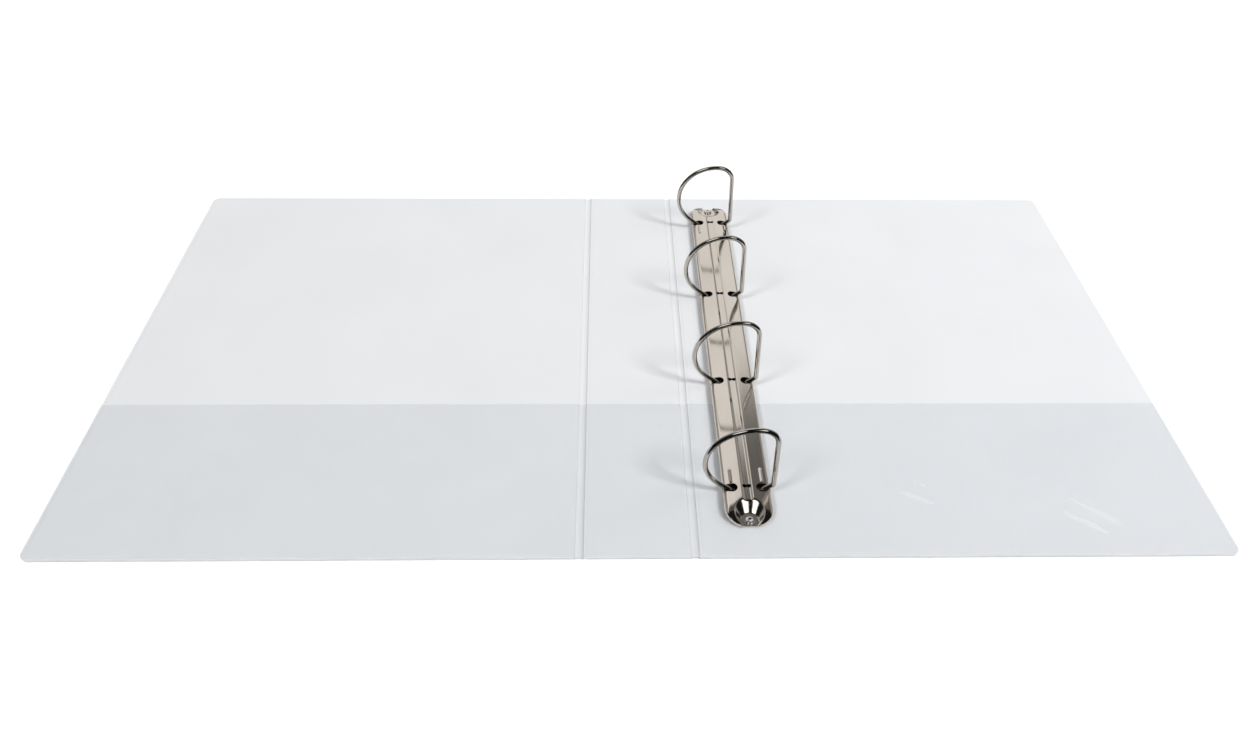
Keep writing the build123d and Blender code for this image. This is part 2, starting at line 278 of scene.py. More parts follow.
def new_piece(name, vertices, faces, finish, sharp=40):
    """A piece from its vertices and faces, doubles merged, smooth but for edges sharper than that angle."""
    mesh = bpy.data.meshes.new(name)
    mesh.from_pydata([tuple(v) for v in vertices], [], [tuple(f) for f in faces])
    mesh.materials.append(finish)
    reworked(mesh, bmesh.ops.remove_doubles, "verts", dist=1e-7)
    smooth(mesh, sharp)
    return new_object(name, mesh)


def smooth(mesh, sharp):
    mesh.shade_smooth()
    mesh.set_sharp_from_angle(angle=math.radians(sharp))


def outward(piece):
    """Turns the faces of a closed one-walled piece outwards."""
    reworked(piece.data, bmesh.ops.recalc_face_normals, "faces")
    return piece


def settled(piece, sharp=40):
    """The piece with its modifiers turned into plain mesh."""
    result = piece.evaluated_get(bpy.context.evaluated_depsgraph_get())
    mesh = bpy.data.meshes.new_from_object(result)
    piece.modifiers.clear()
    piece.data = mesh
    smooth(mesh, sharp)
    return piece


def grid_faces(rows, columns, first=0, closed=False):
    """Faces between rows of vertices, each row joined to its own start if closed."""
    faces = []
    for row in range(rows - 1):
        for column in range(columns if closed else columns - 1):
            here = first + row * columns + column
            beside = first + row * columns + (column + 1) % columns
            faces.append((here, beside, beside + columns, here + columns))
    return faces


def rounded_path(points, radii, turn=math.radians(7)):
    """A line through points, each inner corner rounded to its radius."""
    points = [np.array(point, float) for point in points]
    path = [points[0]]
    for before, corner, after, radius in zip(points, points[1:], points[2:], radii):
        back = (before - corner) / np.linalg.norm(before - corner)
        ahead = (after - corner) / np.linalg.norm(after - corner)
        half = math.acos(max(-1.0, min(1.0, float(back @ ahead)))) / 2
        centre = corner + (back + ahead) / np.linalg.norm(back + ahead) * radius / math.sin(half)
        start = corner + back * radius / math.tan(half) - centre
        end = corner + ahead * radius / math.tan(half) - centre
        sweep = math.pi - 2 * half
        steps = max(2, math.ceil(sweep / turn))
        for step in range(steps + 1):
            share = step / steps
            spoke = math.sin((1 - share) * sweep) * start + math.sin(share * sweep) * end
            path.append(centre + spoke / math.sin(sweep))
    path.append(points[-1])
    return np.array(path)


def spaced(path, step):
    """The same line with extra points, so that no gap is longer than step."""
    made = [path[0]]
    for start, end in zip(path, path[1:]):
        pieces = max(1, math.ceil(np.linalg.norm(end - start) / step - 1e-6))
        made += [start + (end - start) * part / pieces for part in range(1, pieces + 1)]
    return np.array(made)


def smooth_step(value, start, end):
    share = np.clip((value - start) / (end - start), 0, 1)
    return share * share * (3 - 2 * share)


def smooth_least(first, second, blend):
    """The lesser of two heights, with a rounded change from one to the other."""
    share = np.clip(0.5 + 0.5 * (second - first) / blend, 0, 1)
    return second + (first - second) * share - blend * share * (1 - share)


# ---- Welded films ----


def panel_ring(area, inset, radii, counts, arc=6):
    """Points round a panel, drawn in by inset, with rounded corners, the same number at every inset."""
    x0, y0, x1, y1 = area[0] + inset, area[1] + inset, area[2] - inset, area[3] - inset
    corners = ((x0, y0, 1, 1), (x1, y0, -1, 1), (x1, y1, -1, -1), (x0, y1, 1, -1))
    arcs = []
    for number, (x, y, to_x, to_y) in enumerate(corners):
        radius = max(radii[number] - inset, 0)
        start = math.radians(180 + 90 * number)
        angles = [start + math.radians(90) * step / arc for step in range(arc + 1)]
        centre = (x + to_x * radius, y + to_y * radius)
        arcs.append([(centre[0] + radius * math.cos(a), centre[1] + radius * math.sin(a)) for a in angles])
    ring = []
    for number, corner in enumerate(arcs):
        ring += corner
        start, end = np.array(corner[-1]), np.array(arcs[(number + 1) % 4][0])
        pieces = counts[number % 2]
        ring += [tuple(start + (end - start) * part / pieces) for part in range(1, pieces)]
    return ring


def film_piece(name, area, radii, insets, upper, lower, step, finish):
    """A closed sheet of film between two heights, each a function of x, y and the distance from the edge."""
    counts = [max(2, round((area[2] - area[0]) / step)), max(2, round((area[3] - area[1]) / step))]
    deepest = insets[-1]
    xs = np.linspace(area[0] + deepest, area[2] - deepest, counts[0] + 1)
    ys = np.linspace(area[1] + deepest, area[3] - deepest, counts[1] + 1)
    vertices, faces = [], []
    stations = [(inset, lower) for inset in reversed(insets)] + [(inset, upper) for inset in insets]
    for inset, height in stations:
        vertices += [(x, y, height(x, y, inset)) for x, y in panel_ring(area, inset, radii, counts)]
    faces += grid_faces(len(stations), len(vertices) // len(stations), closed=True)
    for height, turned in ((upper, False), (lower, True)):
        first = len(vertices)
        for y in ys:
            for x in xs:
                inset = min(x - area[0], area[2] - x, y - area[1], area[3] - y)
                vertices.append((x, y, height(x, y, inset)))
        cap = grid_faces(len(ys), len(xs), first)
        faces += [face[::-1] for face in cap] if turned else cap
    return new_piece(name, vertices, faces, finish)


def wave(x, y, spacing, seed):
    return noise.noise(Vector((x / spacing, y / spacing, seed)))


def panel_area(node):
    low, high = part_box(node)
    return (low.x, low.y, high.x, high.y)


def film_radii(panel, radius):
    """Radii at the four corners of a panel, anticlockwise from the foot's left."""
    left, right = radius * (panel == "front"), radius * (panel == "back")
    return (left, right, right, left)


def edge_profile(inset, seam, dip):
    """Height of a welded film above or below its level, by distance from its edge, in metres."""
    rim_drop, rim_width = 0.0004, 0.0005
    rim = -rim_drop * max(0.0, 1 - inset / rim_width) ** 2
    pressed = -dip * float(smooth_step(inset, 0.35 * seam, 0.6 * seam))
    pressed += dip * float(smooth_step(inset, seam, 1.35 * seam))
    swell = 0.4 * dip * float(smooth_step(inset, seam, 1.5 * seam) - smooth_step(inset, 2 * seam, 3 * seam))
    return rim + pressed + swell


def make_inner_skins(sizes, finish):
    insets = [0, 0.00012, 0.0003, 0.0005, 0.0007, 0.0009, 0.0012, 0.0015, 0.0018, 0.0021, 0.003, 0.0046]
    calm_rim, calm_end = 0.003, 0.02
    # A small raised spot beside the hinge strip, near the head.
    spot_place = Vector((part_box("spine_hinge_web")[0].x - 0.0012, 0.1512))
    spot_height, spot_radius = 0.0003, 0.0016
    for number, panel in enumerate(PANELS):
        node = f"{panel}_inner_skin"
        area = panel_area(node)
        low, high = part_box(node)
        board_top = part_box(f"{panel}_board")[1].z

        def upper(x, y, inset, top=high.z, seed=number * 3.7):
            calm = float(smooth_step(inset, calm_rim, calm_end))
            swell = sizes.wave_height * calm * wave(x, y, sizes.wave_length, seed)
            away = (Vector((x, y)) - spot_place).length_squared
            spot = spot_height * math.exp(-away / spot_radius**2)
            return top + edge_profile(inset, sizes.seam, sizes.seam_dip) + swell + spot

        def lower(x, y, inset, foot=low.z, level=board_top):
            return foot if inset <= sizes.seam + 1e-9 else level

        piece = film_piece(
            f"{panel}_inner_film", area, film_radii(panel, sizes.corner_radius), insets,
            upper, lower, sizes.grid_step, finish,
        )
        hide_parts(node)
        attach(piece, "spine" if panel == "spine" else f"{panel}_cover")


def make_pockets(sizes, finish):
    insets = [0, 0.00005, 0.0002, 0.0007, 0.0012, 0.0015, 0.0019, 0.0024, 0.0035, 0.0046]
    calm_rim, calm_end = 0.002, 0.02
    weld_drop, weld_start, weld_end = 0.0001, 0.0010, 0.0022
    rim_drop, rim_width = 0.00008, 0.0002
    for number, panel in enumerate(PANELS):
        node = f"{panel}_pocket"
        area = panel_area(node)
        low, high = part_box(node)
        ripple = {"front": 0.6, "spine": 0.5, "back": 1.8}[panel]

        def upper(x, y, inset, top=high.z, seed=11.3 + number * 5.1, area=area, ripple=ripple):
            welded = min(x - area[0], area[2] - x, y - area[1])
            calm = float(smooth_step(inset, calm_rim, calm_end))
            swell = sizes.wave_height * wave(x, y, sizes.wave_length * 0.8, seed)
            along = (0.80 * x + 1.6 * y) + 0.02 * wave(x, y, 0.05, seed + 2)
            slanted = math.sin(along / sizes.ripple_length * math.tau) * wave(x, y, 0.06, seed + 5)
            drop = weld_drop * (1 - float(smooth_step(welded, weld_start, weld_end)))
            rim = rim_drop * max(0.0, 1 - inset / rim_width) ** 2
            return top - drop - rim + calm * (swell + ripple * sizes.ripple_height * slanted)

        def under(x, y, inset, upper=upper, foot=low.z):
            return max(foot, upper(x, y, inset) - sizes.pocket_film) if inset > insets[1] else foot

        radii = film_radii(panel, sizes.corner_radius)
        piece = film_piece(
            f"{panel}_pocket_film", area, (radii[0], radii[1], 0, 0), insets,
            upper, under, sizes.grid_step, finish,
        )
        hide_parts(node)
        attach(piece, "spine" if panel == "spine" else f"{panel}_cover")


def make_hinges(sizes, finish):
    joined = {"front_hinge_web": ("spine", "front_cover"), "spine_hinge_web": ("back_cover", "spine")}
    crowd_place, crowd_spread = -0.055, 0.03
    for node, (inner, outer) in joined.items():
        low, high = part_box(node)
        area = panel_area(node)
        centre, half = (low.x + high.x) / 2, (high.x - low.x) / 2

        def upper(x, y, inset, centre=centre, half=half, top=high.z):
            across = (x - centre) / half
            groove = sizes.groove_depth * (1 - across * across)
            crowd = math.exp(-(((y - crowd_place) / crowd_spread) ** 2)) * (centre > 0)
            crinkle = wave(x, y, sizes.crinkle_length, 3.3)
            calm = 1 - across**4
            return top - groove + sizes.crinkle_height * (0.35 + 0.65 * crowd) * calm * crinkle

        def under(x, y, inset, upper=upper):
            return upper(x, y, inset) - sizes.thickness

        piece = film_piece(
            f"{node}_strip", area, (0, 0, 0, 0), [0, 0.0001], upper, under, sizes.grid_step * 1.2, finish
        )
        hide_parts(node)
        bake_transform(piece)


# ---- Trees of nodes for what repeats along the row ----

ROW_INPUTS = {"Copies": "Int", "First place": "Vector", "Step": "Vector", "Finish": "Material"}


def new_tree(name, sockets):
    """An empty tree with named inputs and one geometry output."""
    tree = bpy.data.node_groups.new(name, "GeometryNodeTree")
    for socket, kind in sockets.items():
        tree.interface.new_socket(socket, in_out="INPUT", socket_type=f"NodeSocket{kind}")
    tree.interface.new_socket("Result", in_out="OUTPUT", socket_type="NodeSocketGeometry")
    return tree


def add_node(tree, kind, inputs=None, **settings):
    """A node with its settings, its inputs set to a value or linked from another node's output."""
    made = tree.nodes.new(kind)
    for setting, value in settings.items():
        setattr(made, setting, value)
    for socket, value in (inputs or {}).items():
        if isinstance(value, bpy.types.NodeSocket):
            tree.links.new(value, made.inputs[socket])
        else:
            made.inputs[socket].default_value = value
    return made


def row_of_copies(tree, given, piece):
    """Nodes that place a piece at each point of an even row."""
    row = add_node(
        tree, "GeometryNodeMeshLine", {
            "Count": given.outputs["Copies"],
            "Start Location": given.outputs["First place"],
            "Offset": given.outputs["Step"],
        }, mode="OFFSET",
    )
    placed = add_node(
        tree, "GeometryNodeInstanceOnPoints", {"Points": row.outputs["Mesh"], "Instance": piece}
    )
    return add_node(tree, "GeometryNodeRealizeInstances", {"Geometry": placed.outputs["Instances"]})


def hand_over(tree, given, made):
    """Gives the geometry its finish and passes it to the tree's output."""
    finished = add_node(tree, "GeometryNodeSetMaterial", {
        "Geometry": made.outputs["Geometry"], "Material": given.outputs["Finish"],
    })
    add_node(tree, "NodeGroupOutput", {"Result": finished.outputs["Geometry"]})
    return tree


def copies_tree():
    """Copies of a piece along a row."""
    tree = new_tree("Row of copies", {"Piece": "Geometry", **ROW_INPUTS})
    given = add_node(tree, "NodeGroupInput")
    return hand_over(tree, given, row_of_copies(tree, given, given.outputs["Piece"]))


def openings_tree():
    """A piece with the same openings cut along a row."""
    tree = new_tree("Openings along a row", {"Piece": "Geometry", "Opening": "Object", **ROW_INPUTS})
    given = add_node(tree, "NodeGroupInput")
    shape = add_node(tree, "GeometryNodeObjectInfo", {"Object": given.outputs["Opening"]})
    cutters = row_of_copies(tree, given, shape.outputs["Geometry"])
    cut = add_node(
        tree, "GeometryNodeMeshBoolean", {0: given.outputs["Piece"], 1: cutters.outputs["Geometry"]},
        operation="DIFFERENCE", solver="EXACT",
    )
    real = add_node(tree, "GeometryNodeRealizeInstances", {"Geometry": cut.outputs["Mesh"]})
    return hand_over(tree, given, real)


def row_values(first, step, copies, finish):
    """Values of ROW_INPUTS for copies along the middle of the plate."""
    return {"Copies": copies, "First place": (row_x, first, 0), "Step": (0, step, 0), "Finish": finish}


def apply_tree(piece, tree, values, sharp=40):
    """Runs a tree on a piece with its named inputs set, and leaves plain mesh."""
    modifier = piece.modifiers.new(tree.name, "NODES")
    modifier.node_group = tree
    for socket in tree.interface.items_tree:
        if socket.in_out == "INPUT" and socket.name in values:
            modifier[socket.identifier] = values[socket.name]
    return settled(piece, sharp)


# ---- Cover plate ----


def plate_section(sizes, half_width, foot):
    """Outer line of one half of the plate, from the middle of its groove down to its curled lip."""
    groove = sizes.top - sizes.groove_depth
    side_top = sizes.top - sizes.shoulder_drop * (half_width - sizes.groove_width / 2) / (
        sizes.shoulder_reach - sizes.groove_width / 2
    )
    points = (
        (0, groove),
        (sizes.groove_floor / 2, groove),
        (sizes.groove_width / 2, sizes.top),
        (half_width, side_top),
        (half_width, foot),
        (sizes.lip_reach, foot),
    )
    bends = (0.9 * MM, 0.8 * MM, 2.75 * MM, 0.7 * MM)
    return spaced(rounded_path(points, bends), sizes.grid_step)


def dish_height(sizes, across, past):
    """Height of the slanted cone over a rivet. Past is measured from the seat's centre to the tip."""
    rise = sizes.top - sizes.seat_height
    spread = sizes.dish_radius - sizes.seat_radius
    square = spread**2 - sizes.dish_shift**2
    slope = 2 * (sizes.seat_radius * spread - sizes.dish_shift * past)
    outside = np.maximum(across**2 + past**2 - sizes.seat_radius**2, 0)
    share = (-slope + np.sqrt(slope**2 + 4 * square * outside)) / (2 * square)
    return sizes.seat_height + rise * np.maximum(share, 0)


def plate_stations(half_length, sizes):
    """Places along the plate, closer together at the openings, ribs and ends."""
    coarse, fine, finest = 6 * sizes.grid_step, 1.4 * sizes.grid_step, 0.4 * sizes.grid_step
    near_ring, rib_side, before_taper, tip_run = 0.0036, 0.0155, 0.006, 0.0016
    marks = {
        ring_pitch / 2 - near_ring: coarse,
        ring_pitch / 2 + near_ring: fine,
        half_row - rib_side: coarse,
        half_row + near_ring: fine,
        half_row + sizes.end_taper - before_taper: fine,
        half_length - tip_run: sizes.grid_step,
        half_length: finest,
    }
    half = [0.0]
    for place in sorted(marks):
        gap = place - half[-1]
        pieces = max(1, math.ceil(gap / marks[place]))
        half += [half[-1] + gap * part / pieces for part in range(1, pieces + 1)]
    half = np.array(half)
    return np.concatenate([-half[:0:-1], half])


def make_plate(sizes, finish):
    low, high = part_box("cover_plate")
    half_width, half_length = (high.x - low.x) / 2, (high.y - low.y) / 2
    section = plate_section(sizes, half_width, sizes.seat_height - sizes.sheet + sizes.lip_rise)
    section = np.concatenate([section[:0:-1] * (-1, 1), section])
    stations = plate_stations(half_length, sizes)

    # The ends narrow along an arc that starts straight on.
    reach, run = half_width - sizes.tip_width / 2, half_length - half_row - sizes.end_taper
    radius = (reach**2 + run**2) / (2 * reach)
    past = np.maximum(np.abs(stations) - half_row - sizes.end_taper, 0)
    widths = half_width - radius + np.sqrt(np.maximum(radius**2 - past**2, 0))

    # The groove keeps its width there.
    kept = sizes.groove_width / 2 + 0.3 * MM
    x = np.abs(section[:, 0])[None, :]
    squeezed = kept + (x - kept) * ((widths - kept) / (half_width - kept))[:, None]
    x = np.where(x > kept, squeezed, x) * np.sign(section[:, 0])[None, :]
    y = np.broadcast_to(stations[:, None], x.shape)
    z = np.broadcast_to(section[:, 1][None, :], x.shape).copy()

    # Raised ribs beside the end rings.
    half_straight = (sizes.rib_length - sizes.rib_width) / 2
    rib_along = np.abs(np.abs(y) - (half_row - sizes.rib_from_ring)) - half_straight
    rib_away = np.hypot(np.abs(x) - sizes.rib_reach, np.maximum(rib_along, 0))
    z += sizes.rib_height * (1 - smooth_step(rib_away, 0, sizes.rib_width / 2)) * (z > sizes.opening_floor)

    # Both ends fall towards the tip.
    falling = np.maximum(np.abs(y) - half_length + sizes.fall_run, 0) / sizes.fall_run
    clearance, fall_blend, dish_blend, seat_recess = 0.3 * MM, 0.6 * MM, 0.45 * MM, 0.12 * MM
    z = np.minimum(z, smooth_least(z, sizes.top + clearance - sizes.end_fall * falling**2, fall_blend))

    # Dished rivet seats.
    seat = abs(rivet_places[0] - row_y)
    dish = dish_height(sizes, x, np.abs(y) - seat)
    z = np.minimum(z, smooth_least(z, dish, dish_blend))
    z = np.maximum(z, np.minimum(section[:, 1][None, :], sizes.seat_height - seat_recess))

    vertices = np.stack([x + row_x, y + row_y, z], axis=-1).reshape(-1, 3)
    faces = [face[::-1] for face in grid_faces(len(stations), len(section))]
    plate = new_piece("plate", vertices, faces, finish)
    wall = plate.modifiers.new("Sheet", "SOLIDIFY")
    wall.thickness = sizes.sheet
    wall.offset = 1
    settled(plate)

    opening = ring_openings(sizes, half_width)
    row = row_values(ring_places[0], -ring_pitch, len(ring_places), finish)
    apply_tree(plate, openings_tree(), {"Opening": opening, **row}, sharp=32)
    bpy.data.objects.remove(opening)
    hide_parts("cover_plate")
    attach(plate, "back_cover")


def prism(outline, low, high, vertices, faces):
    """Adds an upright closed shape with that outline to the vertices and faces."""
    first, count = len(vertices), len(outline)
    vertices += [(x, y, low) for x, y in outline] + [(x, y, high) for x, y in outline]
    faces.append([first + i for i in reversed(range(count))])
    faces.append([first + count + i for i in range(count)])
    for i in range(count):
        after = (i + 1) % count
        faces.append((first + i, first + after, first + count + after, first + count + i))


def ring_openings(sizes, half_width):
    """The shapes cut out of the plate at one ring: an opening for each wire, and a two-lobed stop slot."""
    vertices, faces = [], []
    mouth, slot_floor, above = half_width + 0.002, 0.0055, 0.02
    radius = sizes.eye_radius
    turns = [math.radians(90 + 180 * step / 18) for step in range(19)]
    for side in (-1, 1):
        eye = [(sizes.eye_reach + radius * math.cos(turn), radius * math.sin(turn)) for turn in turns]
        outline = [*eye, (mouth, -sizes.mouth_width / 2), (mouth, sizes.mouth_width / 2)]
        if side < 0:
            outline = [(-x, y) for x, y in reversed(outline)]
        prism(outline, sizes.opening_floor, above, vertices, faces)
    half = sizes.stop_reach + sizes.stop_radius
    xs = np.linspace(-half, half, 33)
    lobes = np.sqrt(np.maximum(sizes.stop_radius**2 - (np.abs(xs) - sizes.stop_reach) ** 2, 0))
    edge = np.maximum(lobes, np.where(np.abs(xs) < sizes.stop_reach, sizes.stop_waist, 0))
    upper = [(x, sizes.stop_shift + rise) for x, rise in zip(xs, edge)]
    lower = [(x, sizes.stop_shift - rise) for x, rise in zip(xs[1:-1], edge[1:-1])]
    prism([*lower, *reversed(upper)], slot_floor, above, vertices, faces)
    return outward(new_piece("ring_openings", vertices, faces, None))


# ---- Rings and rivets ----


def wire_path(sizes, hand):
    """Centreline of a half ring, from the blade to just before the tips."""

    def leg(reach):
        return sizes.leg_height + (reach - sizes.leg_reach) * math.tan(sizes.leg_slope)

    foot, bend = (sizes.foot_reach, sizes.stake_low), (sizes.foot_reach, leg(sizes.foot_reach))
    if hand == "right":
        corner = (sizes.post_reach, leg(sizes.post_reach))
        upper = (corner[0] - (sizes.ring_top - corner[1]) * math.tan(sizes.post_lean), sizes.ring_top)
        radii = (sizes.foot_bend, sizes.post_foot_bend, sizes.post_bend)
        return list(rounded_path([foot, bend, corner, upper, (0.0, sizes.ring_top)], radii))[:-1]
    turn_in = sizes.side_reach - sizes.side_radius * (1 - math.sin(sizes.leg_slope))
    start = (-turn_in, leg(turn_in))
    widest = start[1] + sizes.side_radius * math.cos(sizes.leg_slope)
    path = list(rounded_path([(-foot[0], foot[1]), (-bend[0], bend[1]), start], [sizes.foot_bend]))
    upper_radius = sizes.ring_top - widest
    lower_turns = np.linspace(math.radians(270) - sizes.leg_slope, math.radians(180), 19)
    upper_turns = np.linspace(math.radians(180), math.radians(90), 29)
    for radius, turns in ((sizes.side_radius, lower_turns), (upper_radius, upper_turns)):
        centre = np.array((radius - sizes.side_reach, widest))
        path += [centre + radius * np.array((math.cos(turn), math.sin(turn))) for turn in turns[1:]]
    return [place for place in path if place[0] < -sizes.step_reach - 0.2 * MM]


def wire_stations(sizes, hand):
    """Stations along a half ring: x, z, wire radius, and the lowest and highest height kept."""
    path = wire_path(sizes, hand)
    side = -1 if hand == "left" else 1
    ends = (side * sizes.step_reach, side * (0.06 * MM - sizes.step_reach))
    foot = (
        (sizes.stake_low, 0.85 * sizes.stake_radius),
        (sizes.stake_low + 0.1 * MM, sizes.stake_radius),
        (sizes.blade_low, sizes.stake_radius),
        (sizes.blade_low, sizes.stub_radius),
        (sizes.blade_top, sizes.stub_radius),
        (sizes.blade_top, sizes.wire_radius),
    )
    stations = [(path[0][0], z, radius, -1, 1) for z, radius in foot]
    stations += [(x, z, sizes.wire_radius, -1, 1) for x, z in [*path[1:], (ends[0], sizes.ring_top)]]
    half_play = sizes.step_play / 2
    kept = (-1, sizes.ring_top - half_play) if hand == "left" else (sizes.ring_top + half_play, 1)
    stations += [(x, sizes.ring_top, sizes.wire_radius, *kept) for x in (ends[0], ends[1])]
    return stations


def wire_piece(name, sizes, hand, finish):
    """One half ring, in the plane of its row's middle."""
    stations = wire_stations(sizes, hand)
    places = np.array([station[:2] for station in stations])
    vertices, count = [], sizes.sides
    for number, (x, z, radius, lowest, highest) in enumerate(stations):
        here = places[number]
        before = next((p for p in places[number::-1] if np.linalg.norm(p - here) > 1e-6), here)
        after = next((p for p in places[number:] if np.linalg.norm(p - here) > 1e-6), here)
        ahead = (after - before) / np.linalg.norm(after - before)
        aside = np.array((-ahead[1], ahead[0]))
        for side in range(count):
            angle = math.tau * side / count
            point = here + radius * math.cos(angle) * aside
            vertices.append((point[0], radius * math.sin(angle), min(max(point[1], lowest), highest)))
    faces = grid_faces(len(stations), count, closed=True)
    faces.append(list(range(count)))
    faces.append([len(vertices) - 1 - side for side in range(count)])
    return outward(new_piece(name, vertices, faces, finish))


def make_rings(sizes, finish):
    tree = copies_tree()
    for hand in ("left", "right"):
        rings = wire_piece(f"{hand}_half_rings", sizes, hand, finish)
        apply_tree(rings, tree, row_values(ring_places[0], -ring_pitch, len(ring_places), finish))
        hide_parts(*[f"ring_{number}_{hand}" for number in range(1, 5)])
        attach(rings, f"{hand}_blade")


def make_rivets(sizes, finish):
    low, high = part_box("rivet_head")
    seat = high.z - sizes.head_height
    shank, head, dimple, chamfer = sizes.shank_radius, sizes.head_radius, sizes.dimple, 0.0001
    crown = (
        (0.94, 0.0005), (0.8, 0.0002), (0.62, 0.00003), (0.5, 0), (0.4, 0.00006),
        (0.3, 0.6 * dimple), (0.18, dimple), (0, dimple),
    )
    profile = [
        (0, low.z), (shank - chamfer, low.z), (shank, low.z + chamfer), (shank, seat),
        (head - chamfer, seat), (head, seat + chamfer), (head, seat + 4 * chamfer),
        *((share * head, high.z - depth) for share, depth in crown),
    ]
    vertices, count = [], sizes.sides
    for radius, height in profile:
        for side in range(count):
            angle = math.tau * side / count
            vertices.append((radius * math.cos(angle), radius * math.sin(angle), height))
    faces = grid_faces(len(profile), count, closed=True)
    rivets = new_piece("rivets", vertices, faces, finish)
    reworked(rivets.data, bmesh.ops.dissolve_degenerate, "edges", dist=1e-8)
    outward(rivets)
    row = row_values(rivet_places[0], rivet_places[1] - rivet_places[0], len(rivet_places), finish)
    apply_tree(rivets, copies_tree(), row)
    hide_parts("rivet_head", "rivet_foot")
    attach(rivets, "back_cover")


# ---- Finishes ----


class Finish:
    """A material with one Principled shader, and the nodes that feed it."""

    def __init__(self, name, **sockets):
        self.material = bpy.data.materials.new(name)
        self.material.use_nodes = True
        self.tree = self.material.node_tree
        self.tree.nodes.clear()
        self.shader = self.add("ShaderNodeBsdfPrincipled")
        for socket, value in sockets.items():
            self.shader.inputs[socket.replace("_", " ")].default_value = value
        self.add("ShaderNodeOutputMaterial", {"Surface": self.shader.outputs["BSDF"]})
        self.place = self.add("ShaderNodeTexCoord").outputs["Object"]
        self.height = None

    def add(self, kind, inputs=None, **settings):
        return add_node(self.tree, kind, inputs, **settings)

    def grain(self, stretch, detail=3.0, roughness=0.5):
        """Noise over the piece, its spacing set along each axis in repeats to the metre."""
        mapping = self.add("ShaderNodeMapping", {"Vector": self.place, "Scale": stretch})
        made = self.add("ShaderNodeTexNoise", {
            "Vector": mapping.outputs["Vector"], "Scale": 1.0, "Detail": detail, "Roughness": roughness,
        })
        return made.outputs["Fac"]

    def ranged(self, value, low, high, start=0.3, end=0.7):
        """A value from start to end spread over low to high."""
        made = self.add("ShaderNodeMapRange", {
            "Value": value, "From Min": start, "From Max": end, "To Min": low, "To Max": high,
        })
        return made.outputs["Result"]

    def colour(self, value, tones):
        """Base colour between the two tones of that name, by a value that is spread out first."""
        colours = bpy.context.scene.binder_colours
        first, second = [(*getattr(colours, f"{tones}_{number}"), 1) for number in (1, 2)]
        mix = self.add("ShaderNodeMix", {
            "Factor": self.ranged(value, 0, 1), 6: first, 7: second,
        }, data_type="RGBA")
        self.tree.links.new(mix.outputs[2], self.shader.inputs["Base Color"])

    def rough(self, value, low, high):
        self.tree.links.new(self.ranged(value, low, high), self.shader.inputs["Roughness"])

    def bump(self, value, distance, strength=1.0):
        """Relief from a value, on top of any relief before it."""
        before = {} if self.height is None else {"Normal": self.height}
        self.height = self.add("ShaderNodeBump", {
            "Height": value, "Distance": distance, "Strength": strength, **before,
        }).outputs["Normal"]
        self.tree.links.new(self.height, self.shader.inputs["Normal"])


def white_film():
    """Soft white polypropylene film with a faint grain."""
    made = Finish("soft white film", IOR=1.49)
    slow, fine = made.grain((14, 14, 14), 2), made.grain((900, 1500, 900), 2)
    made.colour(slow, "white_film")
    made.rough(made.grain((60, 60, 60)), 0.42, 0.52)
    made.bump(slow, 0.0016, 0.35)
    made.bump(made.grain((160, 110, 160), 2), 0.00014, 0.5)
    made.bump(fine, 0.00003, 0.6)
    return made.material


def hinge_film(lower_end):
    """The white film of a hinge strip, greyer where the pockets are welded into it."""
    made = Finish("welded strip film", IOR=1.49)
    place = made.add("ShaderNodeSeparateXYZ", {"Vector": made.place})
    pocketed = made.add("ShaderNodeMath", {0: place.outputs["Y"], 1: lower_end}, operation="LESS_THAN")
    made.colour(pocketed.outputs["Value"], "hinge_film")
    made.rough(made.grain((60, 60, 60)), 0.42, 0.52)
    made.bump(made.grain((900, 1500, 900), 2), 0.00003, 0.6)
    return made.material


def clear_film():
    """Thin clear film, faintly blue, with a fine speckle."""
    made = Finish("clear film", Alpha=0.115, IOR=1.49)
    speckle = made.grain((520, 700, 520), 2, 0.7)
    made.colour(speckle, "clear_film")
    made.rough(made.grain((40, 60, 40)), 0.22, 0.36)
    made.bump(made.grain((28, 44, 28), 2), 0.0009, 0.4)
    made.bump(speckle, 0.00004, 0.6)
    return made.material


def nickel_plate():
    """Polished nickel on pressed sheet, with faint rolling marks along its length."""
    made = Finish("polished nickel", Metallic=1.0)
    marks, slow = made.grain((2200, 26, 2200), 3), made.grain((90, 30, 90), 2)
    made.colour(slow, "nickel_plate")
    made.rough(marks, 0.085, 0.15)
    made.bump(marks, 0.000004, 0.25)
    made.bump(slow, 0.00006, 0.25)
    return made.material


def grained(slot, name, stretch, detail, roughness, relief, grain_roughness=0.5, **sockets):
    """A finish with one grain, which mixes its tones and sets its roughness and relief."""
    made = Finish(name, **sockets)
    marks = made.grain(stretch, detail, grain_roughness)
    made.colour(marks, slot)
    made.rough(marks, *roughness)
    made.bump(marks, *relief)
    return made.material


def ring_wire():
    """Bright nickel-plated wire with faint drawing marks."""
    relief = (0.000004, 0.3)
    return grained("ring_wire", "bright wire", (700, 2600, 700), 3, (0.06, 0.11), relief, Metallic=1.0)


def rivet_metal():
    """Turned rivet steel, brighter than the plate, lightly hammered."""
    relief = (0.00005, 0.5)
    stretch = (1300, 1300, 1300)
    return grained("rivet_metal", "turned rivet steel", stretch, 2, (0.14, 0.26), relief, Metallic=1.0)


def blade_steel():
    """Plain spring steel of the toggle blades, dull and slightly oily."""
    relief = (0.00001, 0.4)
    return grained("blade_steel", "dull blade steel", (900, 40, 900), 3, (0.32, 0.48), relief, Metallic=1.0)


def cardboard():
    """Grey board with pressed fibres."""
    return grained("board", "grey board", (900, 300, 2600), 4, (0.82, 0.95), (0.00006, 0.6), 0.6)


